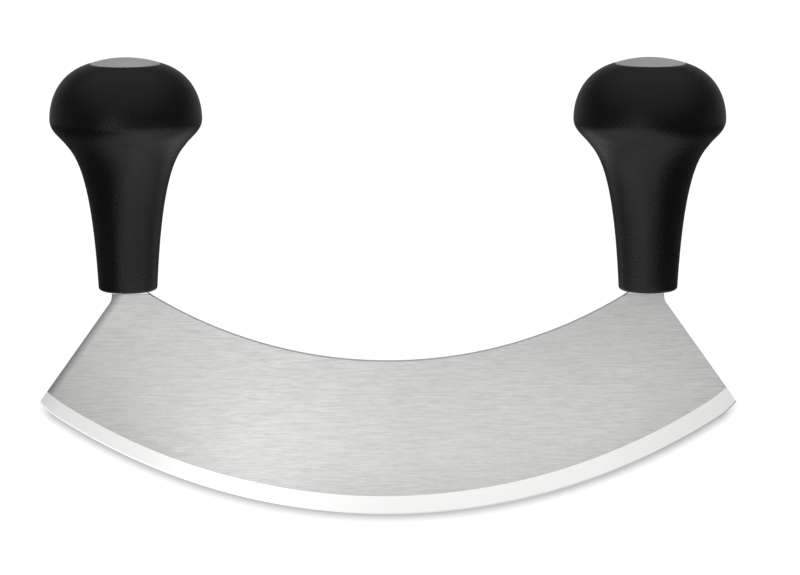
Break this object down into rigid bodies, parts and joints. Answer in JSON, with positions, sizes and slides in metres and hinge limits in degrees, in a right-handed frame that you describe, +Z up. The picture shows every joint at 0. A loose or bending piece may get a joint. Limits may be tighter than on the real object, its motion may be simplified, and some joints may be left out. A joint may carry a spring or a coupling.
{
  "type": "mezzaluna",
  "caption": "Rocking herb knife: one arc-shaped steel blade, ground on both faces, between upright black mushroom grips with grey domed end caps.",
  "frame": {"origin": "lowest point of the cutting edge, in the middle of the blade and of its thickness", "axes": "+X along the blade towards the right-hand grip, +Y through the blade's thickness, +Z up from the cutting edge towards the grips"},
  "size_m": [0.2306, 0.0498, 0.1523],
  "materials": {
    "blade_steel": "brushed faces, finely ground bevel",
    "soft_grip": "satin, finely grained",
    "hard_core": "moulded",
    "grey_cap": "matt moulded",
    "fastener_steel": "turned, bright"
  },
  "bodies": {
    "root": {"blade": "blade_steel", "left_grip": "soft_grip", "left_core": "hard_core", "left_end_cap": "grey_cap", "left_stud": "fastener_steel", "left_washer": "fastener_steel", "left_spring_washer": "fastener_steel", "left_nut": "fastener_steel", "right_grip": "soft_grip", "right_core": "hard_core", "right_end_cap": "grey_cap", "right_stud": "fastener_steel", "right_washer": "fastener_steel", "right_spring_washer": "fastener_steel", "right_nut": "fastener_steel"}
  },
  "joints": []
}
